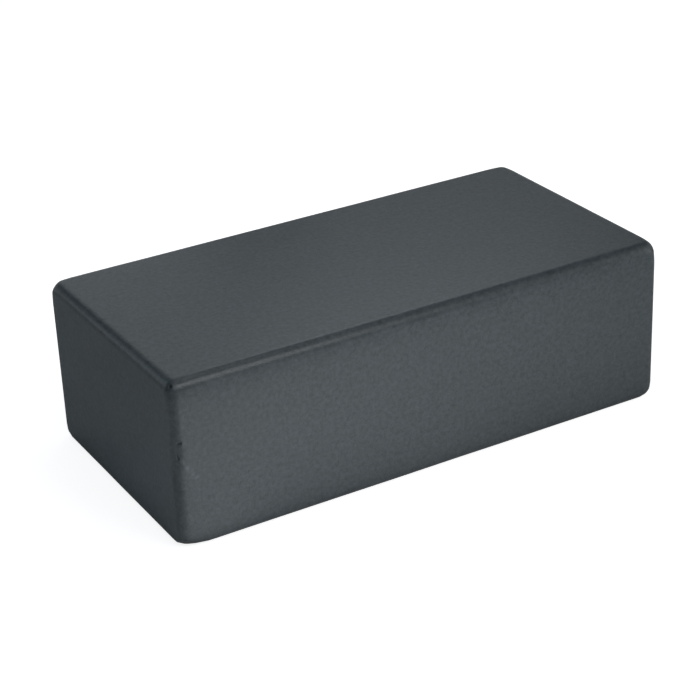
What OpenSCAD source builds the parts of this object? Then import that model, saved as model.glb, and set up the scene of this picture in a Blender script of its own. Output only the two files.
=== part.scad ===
// Foam yoga block, lying on one of its two largest faces.
// Millimetres. The origin is the middle of the underside, +X runs along the length,
// -Y faces the front and +Z is up.

/* [Block] */
// Length, the height of the block when it stands on end
block_length = 220; // [180:1:320]
// Width, the height of the block when it stands on its long side
block_width = 110; // [80:1:170]
// Height of the block when it lies flat
block_height = 70; // [60:1:120]

/* [Edges] */
// Radius of the roll along all twelve edges
edge_radius = 4; // [2:0.25:8]
// How far the tips of the top corners are rubbed back below the roll
top_corner_rub = 0.8; // [0.2:0.1:2]
// How far the tip of the front left top corner is rubbed back
near_corner_rub = 0.3; // [0.2:0.1:2]
// How far the tips of the base corners are rubbed back below the roll
base_corner_rub = 0.4; // [0.2:0.1:2]
// How far the tip of the front left base corner is rubbed back
worn_corner_rub = 1.8; // [0.2:0.1:2.4]

/* [Wear] */
// Height of the dent's middle on the front left upright edge
dent_height = 42; // [20:1:50]
// Length of the dent along the edge
dent_length = 9; // [5:0.5:14]
// Depth of the dent
dent_depth = 0.5; // [0.3:0.1:1.5]
// Direction that the dent faces, turned from the front towards the left end
dent_turn = 32; // [20:1:70]
// Radius of the two nicks in the dent
nick_radius = 0.7; // [0.5:0.1:1.5]
// Depth of the nicks below the dent
nick_depth = 0.5; // [0.2:0.1:0.8]
// How far the upper nick lies above the dent's middle
upper_nick_rise = 4; // [2:0.5:6]
// Direction that the upper nick faces, turned from the front towards the left end
upper_nick_turn = 20; // [5:1:80]
// How far the lower nick lies below the dent's middle
lower_nick_drop = 2; // [0:0.5:6]
// Direction that the lower nick faces, turned from the front towards the left end
lower_nick_turn = 36; // [5:1:80]
// Radius of the pit in the front left top corner
pit_radius = 1.2; // [0.8:0.1:2]
// Depth of the pit
pit_depth = 0.5; // [0.3:0.1:1]

/* [Hidden] */
// Smoothness of round shapes
$fn = 48;
// How far a cut runs past the surface that it opens
overrun = 1;

// Centres of the edge rolls, measured from the middle of the block
roll_x = block_length / 2 - edge_radius;
roll_y = block_width / 2 - edge_radius;
roll_z = block_height / 2 - edge_radius;

// A larger ball rounds off each corner. It stands clear of the edge rolls by a share of the
// rub, so it touches the corner alone.
corner_clearance_share = 0.25;
// How far the ball's centre lies behind the centre of the roll, along each axis
function ball_setback(rub) = rub * (1 + corner_clearance_share) / (sqrt(3) - sqrt(2));
function ball_radius(rub) = edge_radius + ball_setback(rub) * sqrt(2) + rub * corner_clearance_share;
// From the sharp corner of the plain box to a rubbed tip, along the diagonal
function rubbed_tip(rub) = edge_radius * (sqrt(3) - 1) + rub;

// A ball that sinks by the dent's depth over the dent's length
dent_radius = (dent_length * dent_length / 4 + dent_depth * dent_depth) / (2 * dent_depth);
// How deep the dent lies at a distance from its middle
function dent_sink(distance) = max(0, dent_depth - distance * distance / (2 * dent_radius));

// Both directions along an axis
SIDES = [-1, 1];

// A box with all its edges and corners rolled to one radius, centred on the origin
module rolled_box() {
    cube([2 * roll_x, 2 * roll_y, block_height], center = true);
    cube([2 * roll_x, block_width, 2 * roll_z], center = true);
    cube([block_length, 2 * roll_y, 2 * roll_z], center = true);
    for (a = SIDES, b = SIDES) {
        translate([0, a * roll_y, b * roll_z])
            rotate([0, 90, 0])
                cylinder(r = edge_radius, h = 2 * roll_x, center = true);
        translate([a * roll_x, 0, b * roll_z])
            rotate([90, 0, 0])
                cylinder(r = edge_radius, h = 2 * roll_y, center = true);
        translate([a * roll_x, b * roll_y, 0])
            cylinder(r = edge_radius, h = 2 * roll_z, center = true);
    }
    for (a = SIDES, b = SIDES, c = SIDES)
        translate([a * roll_x, b * roll_y, c * roll_z])
            sphere(r = edge_radius);
}

// What is rubbed off a corner, with the sharp corner of the plain box at the origin and the
// block towards +X, +Y and +Z
module corner_rubbing(rub) {
    inset = edge_radius + ball_setback(rub);
    difference() {
        translate([-overrun, -overrun, -overrun])
            cube(inset + overrun);
        translate([inset, inset, inset])
            sphere(r = ball_radius(rub));
    }
}

// How far the corner is rubbed at the right (a), at the back (b) and at the top (c)
function corner_rub(a, b, c) =
    c == 1 ? (a + b == 0 ? near_corner_rub : top_corner_rub) : (a + b == 0 ? worn_corner_rub : base_corner_rub);

// The rubbings of all eight corners
module corner_rubbings() {
    for (a = [0, 1], b = [0, 1], c = [0, 1])
        mirror([a, 0, 0]) mirror([0, b, 0]) mirror([0, 0, c])
            translate([-block_length / 2, -block_width / 2, -block_height / 2])
                corner_rubbing(corner_rub(a, b, c));
}

// A ball pressed into the roll of the front left upright edge, measured from the underside
module press_edge(height, turn, radius, depth) {
    translate([-roll_x, -roll_y, height - block_height / 2])
        rotate([0, 0, -turn])
            translate([0, depth - edge_radius - radius, 0])
                sphere(r = radius);
}

// A nick in the dent, at a height above or below its middle
module nick(rise, turn) {
    press_edge(dent_height + rise, turn, nick_radius, dent_sink(rise) + nick_depth);
}

// A ball pressed into the tip of the front left top corner
module press_corner(radius, depth) {
    along = (rubbed_tip(near_corner_rub) + depth - radius) / sqrt(3);
    translate([along - block_length / 2, along - block_width / 2, block_height / 2 - along])
        sphere(r = radius);
}

// The whole block: one piece of closed-cell foam with its dent, nicks and pit
module foam_block() {
    color([0.31, 0.33, 0.34])
        translate([0, 0, block_height / 2])
            difference() {
                rolled_box();
                corner_rubbings();
                press_edge(dent_height, dent_turn, dent_radius, dent_depth);
                nick(upper_nick_rise, upper_nick_turn);
                nick(-lower_nick_drop, lower_nick_turn);
                press_corner(pit_radius, pit_depth);
            }
}

foam_block();
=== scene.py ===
"""A foam yoga block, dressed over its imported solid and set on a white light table."""

import logging
import math
from collections.abc import Iterable
from dataclasses import dataclass, field
from enum import Enum

import bmesh
import bpy
from mathutils import Matrix, Vector, noise


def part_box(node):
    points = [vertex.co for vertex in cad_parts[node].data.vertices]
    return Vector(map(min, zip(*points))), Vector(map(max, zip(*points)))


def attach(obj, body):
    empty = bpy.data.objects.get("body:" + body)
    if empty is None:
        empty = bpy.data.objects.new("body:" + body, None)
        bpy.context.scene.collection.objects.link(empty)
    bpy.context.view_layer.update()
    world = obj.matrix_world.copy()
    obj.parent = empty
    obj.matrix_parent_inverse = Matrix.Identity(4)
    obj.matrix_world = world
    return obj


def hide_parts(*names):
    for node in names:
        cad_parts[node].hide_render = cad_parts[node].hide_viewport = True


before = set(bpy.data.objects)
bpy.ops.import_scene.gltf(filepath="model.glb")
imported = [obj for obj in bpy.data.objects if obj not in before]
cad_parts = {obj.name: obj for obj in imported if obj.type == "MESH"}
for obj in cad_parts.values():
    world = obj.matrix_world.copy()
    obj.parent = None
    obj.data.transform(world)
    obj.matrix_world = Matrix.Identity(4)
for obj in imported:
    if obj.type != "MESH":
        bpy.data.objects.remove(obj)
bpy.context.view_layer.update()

LOG = logging.getLogger("yoga_block")
MM = 0.001
BODY = "root"
NODE = "foam_block"
# Watts for each square metre of a lamp's face that shows as white
LAMP_WATTS = 4.0
# What a noise texture gives on average
NOISE_MIDDLE = 0.5

Colour = tuple[float, float, float, float]
Input = bpy.types.NodeSocket | float

WHITE: Colour = (1.0, 1.0, 1.0, 1.0)
PALE: Colour = (0.96, 0.98, 1.0, 1.0)
COOL: Colour = (0.89, 0.96, 1.0, 1.0)
COLD: Colour = (0.70, 0.88, 1.0, 1.0)


class Slot(Enum):
    """Material slots of the record."""

    FOAM = "foam"


class Mask(Enum):
    """Point attributes of the block's mesh that its finish reads."""

    # How far round a level roll a point lies, for the painted shade on the rolls.
    ROLL = "roll"
    SCUFF = "scuff"
    # Painted shade in the pit and the nicks.
    BRUISE = "bruise"


class Bench:
    """Adds shader nodes to one node tree and joins them."""

    def __init__(self, tree: bpy.types.NodeTree) -> None:
        """Keeps the tree to work on."""
        self.tree = tree

    def add(self, kind: str, **settings: object) -> bpy.types.Node:
        """Adds a node.

        Args:
            kind: The node's type, without its common beginning.
            **settings: Values for the node's own properties.

        Returns:
            The node.
        """
        node = self.tree.nodes.new("ShaderNode" + kind)
        for name, value in settings.items():
            setattr(node, name, value)
        return node

    def feed(self, socket: bpy.types.NodeSocket, value: object) -> None:
        """Links a socket to a node's output, or sets its own value.

        Args:
            socket: The socket to feed.
            value: A node's output, or a plain value.
        """
        if isinstance(value, bpy.types.NodeSocket):
            self.tree.links.new(value, socket)
        else:
            socket.default_value = value

    def sum(self, operation: str, *values: Input) -> bpy.types.NodeSocket:
        """Works out a value from others.

        Args:
            operation: The name of the Math node's operation.
            *values: Its inputs, in order.

        Returns:
            The result's socket.
        """
        node = self.add("Math", operation=operation)
        for socket, value in zip(node.inputs, values):
            self.feed(socket, value)
        return node.outputs["Value"]

    def spread(
        self, value: Input, low: float, high: float, to_low: float, to_high: float
    ) -> bpy.types.NodeSocket:
        """Maps a value from one range to another, held at the ends.

        Args:
            value: The value to map.
            low: Where its range starts.
            high: Where its range ends.
            to_low: The result at the start.
            to_high: The result at the end.

        Returns:
            The result's socket.
        """
        node = self.add("MapRange", interpolation_type="SMOOTHSTEP")
        for name, given in (
            ("Value", value),
            ("From Min", low),
            ("From Max", high),
            ("To Min", to_low),
            ("To Max", to_high),
        ):
            self.feed(node.inputs[name], given)
        return node.outputs["Result"]

    def blend(self, share: Input, first: object, second: object) -> bpy.types.NodeSocket:
        """Mixes two colours.

        Args:
            share: How much of the second colour shows.
            first: A colour or a colour's socket.
            second: A colour or a colour's socket.

        Returns:
            The mixed colour's socket.
        """
        node = self.add("Mix", data_type="RGBA")
        self.feed(node.inputs["Factor"], share)
        self.feed(node.inputs["A"], first)
        self.feed(node.inputs["B"], second)
        return node.outputs["Result"]


@dataclass(frozen=True)
class FoamFinish:
    """Closed-cell foam in slate grey: matt, with a grain of cells, open pores and a faint mottle,
    and painted shade on its level rolls, in its pores and in its hollows.

    Attributes:
        dark: Colour of the grain's dark side.
        light: Colour of its light side.
        scuffed: Colour of scuffed skin.
        hollow_shade_colour: Colour of the painted shade in the pit and the nicks.
        specular: How much the skin mirrors. The hollows with painted shade mirror less, and nothing
            at full shade.
        roughness: Roughness of the dark and the light mottle.
        cell_size: Size of the foam's cells.
        cell_depth: Height of the relief that a full step of the cells or the grain gives.
        cell_reach: Where a cell's wall starts and ends, in cells from its middle.
        pore_reach: Where the rim of a pore starts and ends, in cells from its middle.
        pore_share: Share of the cells that are open.
        pore_painted_shade: How much painted shade darkens a pore.
        grain_size: Size of the grain.
        grain_share: How strongly the grain shows in the colour.
        mottle_size: Size of the mottle.
        mottle_share: How strongly the mottle shows in the colour.
        mottle_span: Values of the mottle between which the roughness changes.
        cloud_layers: How many finer layers the grain and the mottle have.
        cloud_sharpness: How strong each finer layer is beside the one before.
        painted_roll_shade: How much painted shade darkens the level rolls.
    """

    dark: Colour = (0.034, 0.041, 0.045, 1.0)
    light: Colour = (0.101, 0.123, 0.136, 1.0)
    scuffed: Colour = (0.130, 0.155, 0.168, 1.0)
    hollow_shade_colour: Colour = (0.006, 0.008, 0.010, 1.0)
    specular: float = 0.5
    roughness: tuple[float, float] = (0.36, 0.42)
    cell_size: float = 0.8 * MM
    cell_depth: float = 0.02 * MM
    cell_reach: tuple[float, float] = (0.0, 0.6)
    pore_reach: tuple[float, float] = (0.10, 0.24)
    pore_share: float = 0.25
    pore_painted_shade: float = 0.4
    grain_size: float = 1.9 * MM
    grain_share: float = 1.4
    mottle_size: float = 14.0 * MM
    mottle_share: float = 0.30
    mottle_span: tuple[float, float] = (0.3, 0.7)
    cloud_layers: float = 3.0
    cloud_sharpness: float = 0.8
    painted_roll_shade: float = 0.08

    def material(self) -> bpy.types.Material:
        """Makes the material.

        Returns:
            The material.
        """
        made = bpy.data.materials.new("slate_foam")
        made.use_nodes = True
        bench = Bench(made.node_tree)
        shader = made.node_tree.nodes["Principled BSDF"]
        place = bench.add("TexCoord").outputs["Object"]
        cells, pores = self._cells(bench, place)
        grain = self._noise(bench, place, self.grain_size)
        mottle = self._noise(bench, place, self.mottle_size)
        marks = {
            mask: bench.add("Attribute", attribute_name=mask.value).outputs["Fac"] for mask in Mask
        }
        tone: Input = NOISE_MIDDLE
        for cloud, share in ((grain, self.grain_share), (mottle, self.mottle_share)):
            swing = bench.sum("SUBTRACT", cloud, NOISE_MIDDLE)
            tone = bench.sum("MULTIPLY_ADD", swing, share, tone)
        # Painted shade: the level rolls are darkened.
        tone = bench.sum("MULTIPLY_ADD", marks[Mask.ROLL], -self.painted_roll_shade, tone)
        # Painted shade in the open pores.
        tone = bench.sum("MULTIPLY_ADD", pores, -self.pore_painted_shade, tone)
        colour = bench.blend(tone, self.dark, self.light)
        colour = bench.blend(marks[Mask.SCUFF], colour, self.scuffed)
        # Painted shade: the pit and the nicks go near black, most where they are pressed deepest.
        colour = bench.blend(marks[Mask.BRUISE], colour, self.hollow_shade_colour)
        bench.feed(shader.inputs["Base Color"], colour)
        # The painted shade in the hollows also takes their gloss away.
        gloss = bench.sum("MULTIPLY_ADD", marks[Mask.BRUISE], -self.specular, self.specular)
        bench.feed(shader.inputs["Specular IOR Level"], gloss)
        rough = bench.spread(mottle, *self.mottle_span, *self.roughness)
        bench.feed(shader.inputs["Roughness"], rough)
        height = bench.sum("SUBTRACT", bench.sum("ADD", cells, grain), pores)
        bump = bench.add("Bump")
        bump.inputs["Distance"].default_value = self.cell_depth
        bench.feed(bump.inputs["Height"], height)
        bench.feed(shader.inputs["Normal"], bump.outputs["Normal"])
        return made

    def _cells(
        self, bench: Bench, place: bpy.types.NodeSocket
    ) -> tuple[bpy.types.NodeSocket, bpy.types.NodeSocket]:
        """Makes the foam's cells and the pores in some of them.

        Args:
            bench: Where the nodes go.
            place: The surface's coordinates.

        Returns:
            The cells' height, from 0 in a cell's middle to 1 on its wall, and the pores, which
            are 1 where a cell is open.
        """
        node = bench.add("TexVoronoi")
        bench.feed(node.inputs["Vector"], place)
        node.inputs["Scale"].default_value = 1.0 / self.cell_size
        cells = bench.spread(node.outputs["Distance"], *self.cell_reach, 0.0, 1.0)
        chance = bench.add("SeparateColor")
        bench.feed(chance.inputs["Color"], node.outputs["Color"])
        opened = bench.sum("LESS_THAN", chance.outputs["Red"], self.pore_share)
        hole = bench.spread(node.outputs["Distance"], *self.pore_reach, 1.0, 0.0)
        return cells, bench.sum("MULTIPLY", hole, opened)

    def _noise(
        self, bench: Bench, place: bpy.types.NodeSocket, size: float
    ) -> bpy.types.NodeSocket:
        """Makes a cloudy value.

        Args:
            bench: Where the nodes go.
            place: The surface's coordinates.
            size: The size of its largest clouds.

        Returns:
            The value's socket, about 0.5.
        """
        node = bench.add("TexNoise")
        bench.feed(node.inputs["Vector"], place)
        node.inputs["Scale"].default_value = 1.0 / size
        node.inputs["Detail"].default_value = self.cloud_layers
        node.inputs["Roughness"].default_value = self.cloud_sharpness
        return node.outputs["Fac"]


@dataclass(frozen=True)
class Press:
    """A ball pressed into the surface of the block.

    Attributes:
        point: Where the middle of the hollow lies on the surface before pressing.
        inward: Unit vector from there into the block.
        radius: Radius of the ball.
        depth: How deep the ball sinks.
        rim: How wide the lip of the hollow is rounded.
        ragged: How far the hollow's wall wanders.
        bruise: How much painted shade darkens the hollow, from 0 to 1.
        slide: How far the ball slides along the surface while it is pressed in.
    """

    point: Vector
    inward: Vector
    radius: float
    depth: float
    rim: float
    ragged: float = 0.0
    bruise: float = 0.0
    slide: Vector = Vector()

    @property
    def reach(self) -> float:
        """How far the hollow reaches from its middle."""
        return math.sqrt(2.0 * self.radius * self.depth) + self.slide.length / 2.0

    def push(self, place: Vector) -> Vector:
        """Finds how the ball moves a point.

        Args:
            place: A point on the surface.

        Returns:
            The move, along the inward direction.
        """
        offset = place - self.point - self.inward * (self.depth - self.radius)
        if self.slide.length > 0.0:
            share = offset.dot(self.slide) / self.slide.length_squared
            offset -= self.slide * min(0.5, max(-0.5, share))
        along = offset.dot(self.inward)
        aside = (offset - self.inward * along).length
        if aside >= self.radius or along < 0.0:
            return Vector()
        wander = noise.noise(place / self.rim) * self.ragged
        gap = math.sqrt(self.radius ** 2 - aside ** 2) - along + wander
        return self.inward * ((gap + math.sqrt(gap ** 2 + self.rim ** 2)) / 2.0)


@dataclass(frozen=True)
class Flake:
    """A flake of the front's skin that a scrape has lifted.

    Attributes:
        inset: From the left end of the block to the flake's middle.
        height: Height of its middle above the underside.
        reach: How far it reaches from its middle, along and across.
        lean: Which way it runs, in degrees from level.
        paleness: How pale it is, from 0 to 1.
    """

    inset: float
    height: float
    reach: tuple[float, float]
    lean: float
    paleness: float

    def share(self, inset: float, height: float) -> float:
        """How much of the flake a place on the front gets.

        Args:
            inset: From the left end of the block to the place.
            height: Height of the place above the underside.

        Returns:
            1 in the flake's middle, falling to 0 at its rim.
        """
        turn = math.radians(self.lean)
        right, up = inset - self.inset, height - self.height
        along = (right * math.cos(turn) + up * math.sin(turn)) / self.reach[0]
        across = (up * math.cos(turn) - right * math.sin(turn)) / self.reach[1]
        return max(0.0, 1.0 - along ** 2 - across ** 2) ** 2


@dataclass
class FoamBlock:
    """The block: one piece of closed-cell foam with rolled edges, blunt corners and its wear.

    Attributes:
        low: The block's lowest corner.
        high: The block's highest corner.
        edge_radius: Radius of the roll along all twelve edges.
        edge_steps: Rows of faces round a roll.
        grid_pitch: Size of the small faces on the flats.
        roll_margin: Width of the narrow row of faces beside each roll.
        tolerance: How closely the length of an edge has to match a straight run.
        top_corner_rub: How far the tips of the top corners are rubbed back below the roll.
        near_corner_rub: The same for the front left top corner.
        base_corner_rub: The same for the base corners.
        corner_clearance_share: How clear of the rolls a corner's ball is, as a share of the rub.
        corner_softness: How softly a rubbed corner runs into the rolls.
        corner_run: How far below the ball that soft run starts.
        base_fullness: Power of the section of the base rolls, where 2 is round.
        foot_lift: How far the foot of the front left corner is rubbed up from the table.
        foot_reach: How far that reaches along the front and along the left end.
        foot_height: How far up the sides it is felt.
        shoulder_reach: How far below its top roll the front starts to fall back.
        shoulder_drop: How far the front has fallen back at that roll.
        dent_height: Height of the dent's middle on the front left upright edge.
        dent_length: Length of the dent along the edge.
        dent_depth: Depth of the dent.
        dent_turn: Direction that the dent faces, from the front towards the left end.
        dent_rim: How wide the lip of the dent is rounded.
        nick_radius: Radius of the two nicks in the dent.
        nick_depth: Depth of the nicks below the dent.
        nick_rim: How wide the lips of the nicks are rounded.
        nick_ragged: How far the walls of the nicks wander.
        upper_nick_rise: How far the upper nick lies above the dent's middle.
        upper_nick_turn: Direction that the upper nick faces.
        upper_nick_slide: How far it is drawn out round the edge and upwards.
        upper_nick_bruise: How dark its painted shade is, from 0 to 1.
        lower_nick_drop: How far the lower nick lies below the dent's middle.
        lower_nick_turn: Direction that the lower nick faces.
        lower_nick_slide: How far it is drawn out round the edge and upwards.
        lower_nick_bruise: How dark its painted shade is, from 0 to 1.
        pit_radius: Radius of the pit in the front left top corner.
        pit_depth: Depth of the pit.
        pit_rim: How wide the lip of the pit is rounded.
        pit_ragged: How far the wall of the pit wanders.
        pit_bruise: How dark its painted shade is, from 0 to 1.
        flakes: Flakes of skin that a scrape has lifted off the front.
        flake_rise: How high the palest flake would stand.
        wave_height: How far the skin wanders.
        wave_length: Length of the skin's waves.
        wear_cuts: How far around each mark the mesh is cut finer, in shares of the mark's reach.
        presses: What is pressed into the block, planned while it is built.
    """

    low: Vector
    high: Vector
    edge_radius: float = 4.0 * MM
    edge_steps: int = 12
    grid_pitch: float = 2.5 * MM
    roll_margin: float = 0.5 * MM
    tolerance: float = 0.01 * MM
    top_corner_rub: float = 0.8 * MM
    near_corner_rub: float = 0.3 * MM
    base_corner_rub: float = 0.4 * MM
    corner_clearance_share: float = 0.25
    corner_softness: float = 0.4 * MM
    corner_run: float = 0.8 * MM
    base_fullness: float = 2.5
    foot_lift: float = 2.2 * MM
    foot_reach: tuple[float, float] = (12.0 * MM, 7.0 * MM)
    foot_height: float = 12.0 * MM
    shoulder_reach: float = 6.5 * MM
    shoulder_drop: float = 0.35 * MM
    dent_height: float = 41.3 * MM
    dent_length: float = 9.0 * MM
    dent_depth: float = 0.3 * MM
    dent_turn: float = math.radians(32.0)
    dent_rim: float = 0.5 * MM
    nick_radius: float = 0.6 * MM
    nick_depth: float = 0.5 * MM
    nick_rim: float = 0.12 * MM
    nick_ragged: float = 0.15 * MM
    upper_nick_rise: float = 4.0 * MM
    upper_nick_turn: float = math.radians(20.0)
    upper_nick_slide: tuple[float, float] = (1.0 * MM, 0.0)
    upper_nick_bruise: float = 0.6
    lower_nick_drop: float = 2.0 * MM
    lower_nick_turn: float = math.radians(36.0)
    lower_nick_slide: tuple[float, float] = (0.4 * MM, -0.9 * MM)
    lower_nick_bruise: float = 0.4
    pit_radius: float = 1.0 * MM
    pit_depth: float = 0.45 * MM
    pit_rim: float = 0.2 * MM
    pit_ragged: float = 0.2 * MM
    pit_bruise: float = 1.0
    flakes: tuple[Flake, ...] = (
        Flake(3.3 * MM, 37.5 * MM, (2.6 * MM, 1.2 * MM), -62.0, 0.55),
        Flake(4.8 * MM, 34.6 * MM, (2.0 * MM, 1.4 * MM), -70.0, 0.80),
        Flake(6.7 * MM, 33.4 * MM, (1.2 * MM, 1.1 * MM), 0.0, 0.50),
        Flake(6.8 * MM, 31.4 * MM, (1.2 * MM, 1.2 * MM), 0.0, 0.55),
        Flake(8.3 * MM, 29.8 * MM, (1.6 * MM, 1.2 * MM), 25.0, 0.65),
        Flake(5.2 * MM, 30.6 * MM, (1.6 * MM, 1.2 * MM), 0.0, 0.25),
        Flake(5.9 * MM, 33.6 * MM, (7.0 * MM, 2.6 * MM), -56.0, 0.20),
        Flake(8.8 * MM, 41.2 * MM, (4.0 * MM, 1.1 * MM), 67.0, 0.18),
    )
    flake_rise: float = 0.15 * MM
    wave_height: float = 0.05 * MM
    wave_length: float = 30.0 * MM
    wear_cuts: tuple[float, ...] = (2.4, 1.9, 1.4)
    presses: list[Press] = field(default_factory=list)

    @property
    def middle(self) -> Vector:
        """The block's middle."""
        return (self.low + self.high) / 2.0

    @property
    def core(self) -> Vector:
        """Half the size of what lies inside the rolls."""
        return (self.high - self.low) / 2.0 - Vector((self.edge_radius,) * 3)

    def build(self) -> bpy.types.Object:
        """Models the block.

        Returns:
            The block's object, linked to the scene.
        """
        mesh = bmesh.new()
        self._roll_edges(mesh)
        self._grid_faces(mesh)
        self._fill_base(mesh)
        self._rub_corners(mesh)
        self._lift_foot(mesh)
        self._plan_presses()
        self._refine_wear(mesh)
        self._mark_painted_roll_shade(mesh)
        self._press_wear(mesh)
        self._ease_front(mesh)
        self._lift_flakes(mesh)
        self._ripple_skin(mesh)
        bmesh.ops.recalc_face_normals(mesh, faces=mesh.faces)
        data = bpy.data.meshes.new("foam_block_skin")
        mesh.to_mesh(data)
        mesh.free()
        data.shade_smooth()
        block = bpy.data.objects.new("foam_block_skin", data)
        bpy.context.scene.collection.objects.link(block)
        return block

    def dress(self, block: bpy.types.Object, finish: FoamFinish) -> None:
        """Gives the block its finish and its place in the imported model.

        Args:
            block: The block's object.
            finish: The finish of its skin.
        """
        block.data.materials.append(finish.material())
        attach(block, BODY)
        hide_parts(NODE)

    def _roll_edges(self, mesh: bmesh.types.BMesh) -> None:
        """Makes a box of the block's size and rolls its twelve edges.

        Args:
            mesh: The mesh to shape.
        """
        bmesh.ops.create_cube(mesh, size=1.0)
        bmesh.ops.scale(mesh, vec=self.high - self.low, verts=mesh.verts)
        bmesh.ops.translate(mesh, vec=self.middle, verts=mesh.verts)
        bmesh.ops.bevel(
            mesh,
            geom=mesh.edges[:],
            offset=self.edge_radius,
            offset_type="OFFSET",
            affect="EDGES",
            segments=self.edge_steps,
            profile=0.5,
            material=-1,
        )

    def _grid_faces(self, mesh: bmesh.types.BMesh) -> None:
        """Cuts every face into a grid of small quads, with a narrow row along the rolls.

        Args:
            mesh: The mesh to shape.
        """
        for axis in range(3):
            straight = self.high[axis] - self.low[axis] - 2.0 * self.edge_radius
            runs = []
            for edge in mesh.edges:
                length = abs(edge.verts[0].co[axis] - edge.verts[1].co[axis])
                if abs(length - straight) < self.tolerance:
                    runs.append(edge)
            cuts = round(straight / self.grid_pitch) - 1
            bmesh.ops.subdivide_edges(mesh, edges=runs, cuts=cuts, use_grid_fill=True)
        inset = self.edge_radius + self.roll_margin
        for axis in range(3):
            normal = Vector([float(axis == other) for other in range(3)])
            for place in (self.low[axis] + inset, self.high[axis] - inset):
                bmesh.ops.bisect_plane(
                    mesh,
                    geom=mesh.verts[:] + mesh.edges[:] + mesh.faces[:],
                    plane_co=normal * place,
                    plane_no=normal,
                )

    def _fill_base(self, mesh: bmesh.types.BMesh) -> None:
        """Fills out the rolls along the base, so that they turn more tightly than the others.

        Args:
            mesh: The mesh to shape.
        """
        middle, core, power = self.middle, self.core, self.base_fullness
        for vert in mesh.verts:
            offset = vert.co - middle
            past = [max(0.0, abs(offset[axis]) - core[axis]) for axis in range(3)]
            aside = math.hypot(past[0], past[1])
            if offset.z > 0.0 or past[2] == 0.0 or aside == 0.0:
                continue
            span = (aside ** power + past[2] ** power) ** (1.0 / power)
            grow = self.edge_radius / span - 1.0
            for axis in range(3):
                vert.co[axis] += math.copysign(past[axis] * grow, offset[axis])

    def _corner_rub(self, side: Vector) -> float:
        """How far the corner on these sides is rubbed back.

        Args:
            side: The corner's direction from the middle, 1 or -1 along each axis.

        Returns:
            The rub along the diagonal.
        """
        if side.z < 0.0:
            return self.base_corner_rub
        return self.near_corner_rub if side.x < 0.0 and side.y < 0.0 else self.top_corner_rub

    def _rub_corners(self, mesh: bmesh.types.BMesh) -> None:
        """Pulls the corners back onto larger balls, with a soft run into the rolls.

        Args:
            mesh: The mesh to shape.
        """
        middle = self.middle
        half = (self.high - self.low) / 2.0
        for vert in mesh.verts:
            offset = vert.co - middle
            side = Vector([math.copysign(1.0, value) for value in offset])
            rub = self._corner_rub(side)
            setback = rub * (1.0 + self.corner_clearance_share) / (math.sqrt(3.0) - math.sqrt(2.0))
            inset = self.edge_radius + setback
            ball = self.edge_radius + setback * math.sqrt(2.0) + rub * self.corner_clearance_share
            centre = Vector([side[axis] * (half[axis] - inset) for axis in range(3)])
            out = offset - centre
            if min(out[axis] * side[axis] for axis in range(3)) <= 0.0:
                continue
            excess = out.length - ball
            pull = (excess + math.sqrt(excess ** 2 + self.corner_softness ** 2)) / 2.0
            if excess > -self.corner_run:
                vert.co = middle + centre + out.normalized() * (out.length - pull)

    def _lift_foot(self, mesh: bmesh.types.BMesh) -> None:
        """Rubs the foot of the front left corner up from the table, and leaves its sides flat.

        Args:
            mesh: The mesh to shape.
        """
        for vert in mesh.verts:
            along = max(0.0, 1.0 - (vert.co.x - self.low.x) / self.foot_reach[0])
            aside = max(0.0, 1.0 - (vert.co.y - self.low.y) / self.foot_reach[1])
            below = max(0.0, 1.0 - (vert.co.z - self.low.z) / self.foot_height)
            vert.co.z += self.foot_lift * along * aside * below ** 2

    def _ease_front(self, mesh: bmesh.types.BMesh) -> None:
        """Lets the front fall back a little towards its top roll.

        Args:
            mesh: The mesh to shape.
        """
        start = self.high.z - self.edge_radius - self.shoulder_reach
        for vert in mesh.verts:
            near = max(0.0, (vert.co.z - start) / self.shoulder_reach)
            outer = min(1.0, max(0.0, 1.0 - (vert.co.y - self.low.y) / self.edge_radius))
            vert.co.y += self.shoulder_drop * near ** 2 * outer

    def _edge_press(
        self, height: float, turn: float, radius: float, depth: float, **looks: float | Vector
    ) -> Press:
        """Plans a ball pressed into the roll of the front left upright edge.

        Args:
            height: Height of the ball above the underside.
            turn: Direction that the hollow faces, from the front towards the left end.
            radius: Radius of the ball.
            depth: How deep it sinks below the roll.
            **looks: The rim, raggedness, painted shade and slide of the hollow.

        Returns:
            The press.
        """
        inward = Vector((math.sin(turn), math.cos(turn), 0.0))
        axis = Vector((self.low.x + self.edge_radius, self.low.y + self.edge_radius, height))
        return Press(axis - inward * self.edge_radius, inward, radius, depth, **looks)

    def _plan_presses(self) -> None:
        """Places the dent, its two nicks and the pit in the front left top corner."""
        dent_radius = (self.dent_length ** 2 / 4.0 + self.dent_depth ** 2) / (2.0 * self.dent_depth)
        self.presses = [
            self._edge_press(
                self.dent_height, self.dent_turn, dent_radius, self.dent_depth, rim=self.dent_rim
            )
        ]
        upper = (
            self.upper_nick_rise,
            self.upper_nick_turn,
            self.upper_nick_slide,
            self.upper_nick_bruise,
        )
        lower = (
            -self.lower_nick_drop,
            self.lower_nick_turn,
            self.lower_nick_slide,
            self.lower_nick_bruise,
        )
        for rise, turn, slide, bruise in (upper, lower):
            sink = max(0.0, self.dent_depth - rise ** 2 / (2.0 * dent_radius))
            around = Vector((math.cos(turn), -math.sin(turn), 0.0))
            self.presses.append(
                self._edge_press(
                    self.dent_height + rise, turn, self.nick_radius, sink + self.nick_depth,
                    rim=self.nick_rim, ragged=self.nick_ragged, bruise=bruise,
                    slide=around * slide[0] + Vector((0.0, 0.0, slide[1])),
                )
            )
        inward = Vector((1.0, 1.0, -1.0)).normalized()
        tip = self.edge_radius * (math.sqrt(3.0) - 1.0) + self.near_corner_rub
        corner = Vector((self.low.x, self.low.y, self.high.z)) + inward * tip
        self.presses.append(
            Press(
                corner, inward, self.pit_radius, self.pit_depth,
                rim=self.pit_rim, ragged=self.pit_ragged, bruise=self.pit_bruise,
            )
        )

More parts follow.
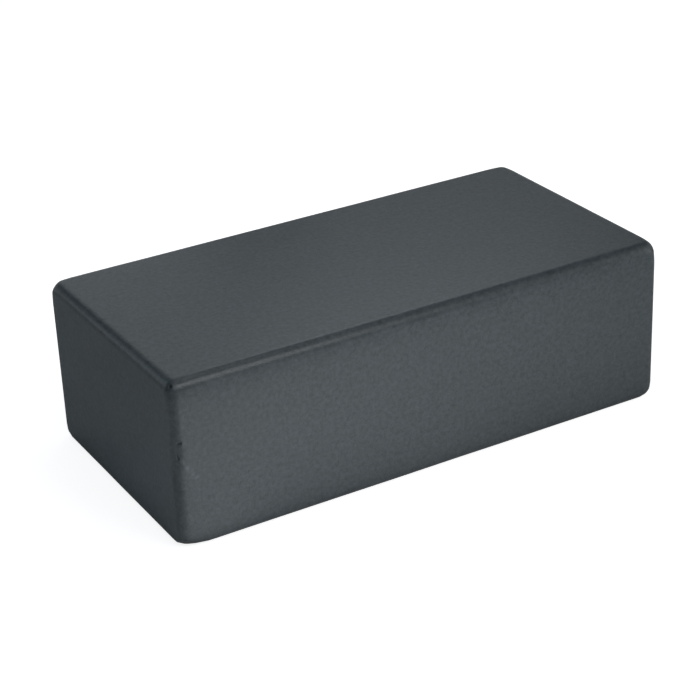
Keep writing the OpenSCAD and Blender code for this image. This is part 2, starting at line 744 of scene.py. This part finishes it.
    def _refine_wear(self, mesh: bmesh.types.BMesh) -> None:
        """Cuts the mesh finer around the wear, once for each reach.

        Args:
            mesh: The mesh to shape.
        """
        marks = [(press.point, press.reach) for press in self.presses]
        for flake in self.flakes:
            point = Vector((self.low.x + flake.inset, self.low.y, self.low.z + flake.height))
            marks.append((point, flake.reach[0]))
        for cut in self.wear_cuts:
            near = []
            for edge in mesh.edges:
                middle = (edge.verts[0].co + edge.verts[1].co) / 2.0
                if any((middle - point).length < cut * reach for point, reach in marks):
                    near.append(edge)
            bmesh.ops.subdivide_edges(mesh, edges=near, cuts=1, use_grid_fill=True)

    def _mark_painted_roll_shade(self, mesh: bmesh.types.BMesh) -> None:
        """Marks how far round a level roll each point lies, for the painted shade there: 0 on the
        flats, 1 half-way round.

        Args:
            mesh: The mesh to mark.
        """
        rolled = mesh.verts.layers.float.new(Mask.ROLL.value)
        middle, core = self.middle, self.core
        for vert in mesh.verts:
            past = [max(0.0, abs(vert.co[axis] - middle[axis]) - core[axis]) for axis in range(3)]
            vert[rolled] = math.sin(2.0 * math.atan2(max(past[:2]), past[2]))

    def _press_wear(self, mesh: bmesh.types.BMesh) -> None:
        """Presses the wear into the mesh and marks the painted shade in its hollows, darker where
        they sink deeper.

        Args:
            mesh: The mesh to shape.
        """
        bruised = mesh.verts.layers.float.new(Mask.BRUISE.value)
        for press in self.presses:
            for vert in mesh.verts:
                move = press.push(vert.co)
                vert.co += move
                # Painted shade: the deeper a point is pressed, the darker it is marked.
                bruise = min(1.0, move.length / press.depth) * press.bruise
                vert[bruised] = max(vert[bruised], bruise)

    def _lift_flakes(self, mesh: bmesh.types.BMesh) -> None:
        """Lifts the scrape's flakes off the skin of the front and marks them.

        Args:
            mesh: The mesh to shape.
        """
        scuffed = mesh.verts.layers.float.new(Mask.SCUFF.value)
        front = [vert for vert in mesh.verts if vert.co.y < self.low.y + self.edge_radius]
        for flake in self.flakes:
            for vert in front:
                pale = flake.share(vert.co.x - self.low.x, vert.co.z - self.low.z) * flake.paleness
                vert.co.y -= self.flake_rise * pale
                vert[scuffed] = max(vert[scuffed], pale)

    def _ripple_skin(self, mesh: bmesh.types.BMesh) -> None:
        """Lets the skin wander a little, as foam does.

        Args:
            mesh: The mesh to shape.
        """
        mesh.normal_update()
        for vert in mesh.verts:
            vert.co += vert.normal * (noise.noise(vert.co / self.wave_length) * self.wave_height)


@dataclass(frozen=True)
class PhotoCamera:
    """A camera at the photograph's viewing angle.

    Attributes:
        azimuth: Which way it looks, turned from straight at the front.
        elevation: How far it looks down.
        roll: How far it is turned about its own axis.
        aim: The point that its place is measured from.
        aim_right: How far that point lies right of the picture's middle.
        aim_down: How far it lies below the picture's middle.
        distance: From the camera to that point, along its axis.
        frame_px: Width and height of the picture, in pixels.
        focal_px: Focal length, in pixels.
        sensor_mm: Width of the sensor, in millimetres.
    """

    azimuth: float = math.radians(-29.43)
    elevation: float = math.radians(26.48)
    roll: float = math.radians(2.38)
    aim: Vector = Vector((0.0, 0.0, 38.0 * MM))
    aim_right: float = 3.38 * MM
    aim_down: float = -7.08 * MM
    distance: float = 803.1 * MM
    frame_px: float = 700.0
    focal_px: float = 1968.6
    sensor_mm: float = 36.0

    def place(self) -> bpy.types.Object:
        """Makes the camera and gives it to the scene.

        Returns:
            The camera's object, linked to the scene.
        """
        level, fall = math.cos(self.elevation), -math.sin(self.elevation)
        ahead = Vector((-math.sin(self.azimuth) * level, math.cos(self.azimuth) * level, fall))
        flat = Vector((math.cos(self.azimuth), math.sin(self.azimuth), 0.0))
        drop = ahead.cross(flat)
        right = flat * math.cos(self.roll) + drop * math.sin(self.roll)
        down = drop * math.cos(self.roll) - flat * math.sin(self.roll)
        data = bpy.data.cameras.new("photo_camera")
        data.sensor_width = self.sensor_mm
        data.lens = self.focal_px / self.frame_px * self.sensor_mm
        camera = bpy.data.objects.new("photo_camera", data)
        spot = self.aim - right * self.aim_right - down * self.aim_down - ahead * self.distance
        turn = Matrix((right, -down, -ahead)).transposed().to_4x4()
        camera.matrix_world = Matrix.Translation(spot) @ turn
        bpy.context.scene.collection.objects.link(camera)
        bpy.context.scene.camera = camera
        return camera


@dataclass(frozen=True)
class Lamp:
    """A soft square lamp that faces the block.

    Attributes:
        name: What the lamp is for.
        azimuth: Where it stands, in degrees from the front towards the right.
        elevation: How high it stands, in degrees above the table.
        distance: From the block's middle to the lamp.
        side: Length of its sides.
        glow: How bright its face is, where 1 is white.
        tint: The colour of its light.
    """

    name: str
    azimuth: float
    elevation: float
    distance: float
    side: float
    glow: float
    tint: Colour = WHITE

    def place(self, aim: Vector) -> bpy.types.Object:
        """Makes the lamp.

        Args:
            aim: The point that it faces.

        Returns:
            The lamp's object, linked to the scene.
        """
        azimuth, elevation = math.radians(self.azimuth), math.radians(self.elevation)
        level = math.cos(elevation)
        out = Vector((math.sin(azimuth) * level, -math.cos(azimuth) * level, math.sin(elevation)))
        data = bpy.data.lights.new(self.name, "AREA")
        data.size = self.side
        data.energy = LAMP_WATTS * self.glow * self.side ** 2
        data.color = self.tint[:3]
        lamp = bpy.data.objects.new(self.name, data)
        turn = out.to_track_quat("Z", "Y").to_matrix().to_4x4()
        lamp.matrix_world = Matrix.Translation(aim + out * self.distance) @ turn
        lamp.visible_camera = False
        bpy.context.scene.collection.objects.link(lamp)
        return lamp


@dataclass(frozen=True)
class Spot:
    """A bright area of the light table.

    Attributes:
        middle: Where it is brightest, from the table's middle.
        reach: How far it reaches along the block's length and width.
        glow: How bright its middle is, where 1 is white.
        tint: The colour of its light.
    """

    middle: tuple[float, float]
    reach: tuple[float, float]
    glow: float
    tint: Colour = WHITE


@dataclass(frozen=True)
class Studio:
    """Light table, lamps and surroundings.

    Attributes:
        lamps: The soft lamps around the block.
        spots: The bright areas of the table.
        lamp_aim: The point that the lamps face.
        table_size: Length of the table.
        table_drop: How far the table lies below the block.
        opening_inset: From the block's sides to the table's opening under it.
        table_white: How white the table is.
        table_glow: How bright it is away from the bright areas.
        contact_shadow_reach: How far from the block the painted contact shadow in its glow reaches.
        contact_shadow_glow: Share of the glow that is left right beside the block, in that painted
            shadow.
        shadow_reach: How far from the block its painted seen shadow reaches.
        seen_glow: How bright the table looks, from beside the block to the painted shadow's end.
        under_glow: How bright it is below the table.
        under_reach: Heights of a direction between which that light ends.
        backdrop_rise: Heights of a direction between which the backdrop ends.
        backdrop_side: Depths of a direction between which the backdrop starts.
        backdrop_left: Directions to the left between which the backdrop gets dimmer.
        backdrop_dim: How bright it is at the far left.
    """

    lamps: tuple[Lamp, ...] = (
        Lamp("front_lamp", 6.0, 32.0, 0.42, 0.16, 3.38),
        Lamp("front_left_lamp", -25.0, 35.0, 0.42, 0.16, 1.60, COOL),
        Lamp("overhead_lamp", 10.0, 74.0, 0.42, 0.10, 2.4),
        Lamp("left_high_lamp", -60.0, 65.0, 0.42, 0.14, 0.8, COLD),
        Lamp("right_fill", 60.0, 12.0, 0.70, 0.40, 1.15),
        Lamp("back_left_lamp", -120.0, 25.0, 0.42, 0.22, 0.74, COLD),
        Lamp("back_left_far_lamp", -134.0, 24.0, 0.44, 0.12, 0.15),
        Lamp("back_lamp", 180.0, 25.0, 0.42, 0.22, 0.49, COOL),
        Lamp("back_high_lamp", 180.0, 60.0, 0.42, 0.22, 0.27),
        Lamp("back_right_lamp", 144.0, 50.0, 0.42, 0.22, 1.19, COOL),
        Lamp("back_right_low_lamp", 140.0, 20.0, 0.46, 0.23, 0.19, COOL),
    )
    spots: tuple[Spot, ...] = (
        Spot((-5.0 * MM, -150.0 * MM), (240.0 * MM, 200.0 * MM), 0.70, PALE),
        Spot((-45.0 * MM, -115.0 * MM), (150.0 * MM, 110.0 * MM), 0.56, PALE),
        Spot((-84.0 * MM, -106.0 * MM), (48.0 * MM, 56.0 * MM), 0.65, PALE),
        Spot((110.0 * MM, -165.0 * MM), (200.0 * MM, 140.0 * MM), 0.58, PALE),
        Spot((-66.0 * MM, -160.0 * MM), (70.0 * MM, 60.0 * MM), 0.74, PALE),
        Spot((-82.0 * MM, -76.0 * MM), (64.0 * MM, 52.0 * MM), 0.24, PALE),
        Spot((-96.0 * MM, -66.0 * MM), (40.0 * MM, 18.0 * MM), 0.75, PALE),
        Spot((-205.0 * MM, -5.0 * MM), (75.0 * MM, 75.0 * MM), 0.84, COLD),
        Spot((-212.0 * MM, -78.0 * MM), (60.0 * MM, 75.0 * MM), 0.90, COLD),
        Spot((-128.0 * MM, 0.0), (40.0 * MM, 90.0 * MM), 0.12, COLD),
        Spot((25.0 * MM, 125.0 * MM), (134.0 * MM, 78.0 * MM), 1.10, PALE),
        Spot((245.0 * MM, -10.0 * MM), (78.0 * MM, 100.0 * MM), 0.90, PALE),
    )
    lamp_aim: Vector = Vector((0.0, 0.0, 35.0 * MM))
    table_size: float = 6.0
    table_drop: float = 0.1 * MM
    opening_inset: float = 4.6 * MM
    table_white: float = 0.6
    table_glow: float = 0.05
    contact_shadow_reach: float = 12.0 * MM
    contact_shadow_glow: float = 0.25
    shadow_reach: float = 120.0 * MM
    seen_glow: tuple[float, float] = (0.86, 1.0)
    under_glow: float = 0.35
    under_reach: tuple[float, float] = (-0.1, 0.0)
    backdrop_rise: tuple[float, float] = (0.02, 0.22)
    backdrop_side: tuple[float, float] = (-0.1, 0.3)
    backdrop_left: tuple[float, float] = (-0.6, -0.2)
    backdrop_dim: float = 0.72

    def set_up(self, low: Vector, high: Vector) -> None:
        """Makes the table, the lamps and the world.

        Args:
            low: The block's lowest corner.
            high: The block's highest corner.
        """
        self._table(low, high)
        for lamp in self.lamps:
            lamp.place(self.lamp_aim)
        self._world()
        bpy.context.scene.view_settings.view_transform = "Standard"

    def _table(self, low: Vector, high: Vector) -> None:
        """Lays the table that the block stands on, open where the block covers it.

        Args:
            low: The block's lowest corner.
            high: The block's highest corner.
        """
        mesh = bmesh.new()
        bmesh.ops.create_grid(mesh, x_segments=1, y_segments=1, size=0.5)
        cover = mesh.faces[:]
        span = Vector((high.x - low.x, high.y - low.y, 1.0))
        span -= Vector((2.0, 2.0, 0.0)) * self.opening_inset
        bmesh.ops.scale(mesh, vec=span, verts=mesh.verts)
        ring = bmesh.ops.extrude_edge_only(mesh, edges=mesh.edges[:])
        rim = [item for item in ring["geom"] if isinstance(item, bmesh.types.BMVert)]
        bmesh.ops.scale(mesh, vec=Vector((self.table_size,) * 3) / span.x, verts=rim)
        bmesh.ops.delete(mesh, geom=cover, context="FACES_ONLY")
        bmesh.ops.translate(mesh, vec=Vector((0.0, 0.0, -self.table_drop)), verts=mesh.verts)
        bmesh.ops.recalc_face_normals(mesh, faces=mesh.faces)
        data = bpy.data.meshes.new("light_table")
        mesh.to_mesh(data)
        mesh.free()
        if data.polygons[0].normal.z < 0.0:
            data.flip_normals()
        table = bpy.data.objects.new("light_table", data)
        bpy.context.scene.collection.objects.link(table)
        data.materials.append(self._table_finish((high - low) / 2.0))

    def _table_finish(self, half: Vector) -> bpy.types.Material:
        """Makes the table's white top, which glows towards the block with a painted contact shadow,
        and shows white with its real shadow and a painted shadow round the block.

        Args:
            half: Half the block's size.

        Returns:
            The material.
        """
        made = bpy.data.materials.new("light_table")
        made.use_nodes = True
        made.cycles.emission_sampling = "NONE"
        bench = Bench(made.node_tree)
        shader = made.node_tree.nodes["Principled BSDF"]
        shader.inputs["Base Color"].default_value = (self.table_white,) * 3 + (1.0,)
        shader.inputs["Roughness"].default_value = 1.0
        shader.inputs["Specular IOR Level"].default_value = 0.0
        place = bench.add("TexCoord").outputs["Object"]
        gap = self._gap(bench, place, half)
        glow: Input = self.table_glow
        tint: bpy.types.NodeSocket | Colour = WHITE
        for spot in self.spots:
            shape = self._spot_shape(bench, place, spot)
            glow = bench.sum("MULTIPLY_ADD", shape, spot.glow, glow)
            if spot.tint != WHITE:
                tint = bench.blend(shape, tint, spot.tint)
        # Painted contact shadow: the table's glow is dimmed beside the block.
        contact = bench.spread(gap, 0.0, self.contact_shadow_reach, self.contact_shadow_glow, 1.0)
        glow = bench.sum("MULTIPLY", glow, contact)
        # Painted shadow: the camera sees the table's glow dimmed towards the block.
        seen_glow = bench.spread(gap, 0.0, self.shadow_reach, *self.seen_glow)
        seen = bench.add("LightPath").outputs["Is Camera Ray"]
        glow = bench.sum("MULTIPLY", glow, bench.sum("SUBTRACT", 1.0, seen))
        glow = bench.sum("MULTIPLY_ADD", seen, seen_glow, glow)
        bench.feed(shader.inputs["Emission Strength"], glow)
        bench.feed(shader.inputs["Emission Color"], bench.blend(seen, tint, WHITE))
        clear = bench.add("BsdfTransparent").outputs["BSDF"]
        sides = bench.add("MixShader")
        bench.feed(sides.inputs["Fac"], bench.add("NewGeometry").outputs["Backfacing"])
        bench.feed(sides.inputs[1], shader.outputs["BSDF"])
        bench.feed(sides.inputs[2], clear)
        output = made.node_tree.nodes["Material Output"]
        bench.feed(output.inputs["Surface"], sides.outputs["Shader"])
        return made

    def _gap(self, bench: Bench, place: bpy.types.NodeSocket, half: Vector) -> bpy.types.NodeSocket:
        """Makes the distance on the table from the block's sides.

        Args:
            bench: Where the nodes go.
            place: The table's coordinates.
            half: Half the block's size.

        Returns:
            The distance's socket, 0 under the block.
        """
        for operation, other in (
            ("ABSOLUTE", None),
            ("SUBTRACT", (half.x, half.y, half.z)),
            ("MAXIMUM", (0.0, 0.0, 0.0)),
        ):
            node = bench.add("VectorMath", operation=operation)
            bench.feed(node.inputs[0], place)
            if other:
                node.inputs[1].default_value = other
            place = node.outputs["Vector"]
        node = bench.add("VectorMath", operation="LENGTH")
        bench.feed(node.inputs[0], place)
        return node.outputs["Value"]

    def _spot_shape(
        self, bench: Bench, place: bpy.types.NodeSocket, spot: Spot
    ) -> bpy.types.NodeSocket:
        """Makes the shape of a bright area.

        Args:
            bench: Where the nodes go.
            place: The table's coordinates.
            spot: The bright area.

        Returns:
            The shape's socket, 1 in the middle and 0 outside.
        """
        mapping = bench.add("Mapping", vector_type="TEXTURE")
        bench.feed(mapping.inputs["Vector"], place)
        mapping.inputs["Location"].default_value = (*spot.middle, 0.0)
        mapping.inputs["Scale"].default_value = (*spot.reach, 1.0)
        shape = bench.add("TexGradient", gradient_type="QUADRATIC_SPHERE")
        bench.feed(shape.inputs["Vector"], mapping.outputs["Vector"])
        return shape.outputs["Fac"]

    def _world(self) -> None:
        """Surrounds the scene: white for the camera and behind in gloss, grey below, else dark."""
        world = bpy.data.worlds.new("studio")
        world.use_nodes = True
        world.cycles.sampling_method = "NONE"
        bench = Bench(world.node_tree)
        way = bench.add("SeparateXYZ")
        bench.feed(way.inputs["Vector"], bench.add("TexCoord").outputs["Generated"])
        low = bench.spread(way.outputs["Z"], *self.backdrop_rise, 1.0, 0.0)
        behind = bench.spread(way.outputs["Y"], *self.backdrop_side, 0.0, 1.0)
        left = bench.spread(way.outputs["X"], *self.backdrop_left, self.backdrop_dim, 1.0)
        above = bench.spread(way.outputs["Z"], *self.under_reach, 0.0, 1.0)
        path = bench.add("LightPath")
        mirrored = bench.sum(
            "MAXIMUM", path.outputs["Is Glossy Ray"], path.outputs["Is Transmission Ray"]
        )
        mirrored = bench.sum("MULTIPLY", mirrored, bench.sum("MULTIPLY", low, behind))
        glow = bench.sum("MULTIPLY", bench.sum("MULTIPLY", mirrored, left), above)
        glow = bench.sum("MULTIPLY_ADD", bench.sum("SUBTRACT", 1.0, above), self.under_glow, glow)
        strength = bench.sum("MAXIMUM", path.outputs["Is Camera Ray"], glow)
        backdrop = world.node_tree.nodes["Background"]
        backdrop.inputs["Color"].default_value = WHITE
        bench.feed(backdrop.inputs["Strength"], strength)
        bpy.context.scene.world = world


def main() -> None:
    """Builds the block, dresses it and sets up the studio."""
    logging.basicConfig(level=logging.INFO, format="%(name)s: %(message)s")
    low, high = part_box(NODE)
    foam = FoamBlock(low, high)
    block = foam.build()
    foam.dress(block, FoamFinish())
    LOG.info("%s: %d faces", block.name, len(block.data.polygons))
    PhotoCamera().place()
    Studio().set_up(low, high)


if __name__ == "__main__":
    main()
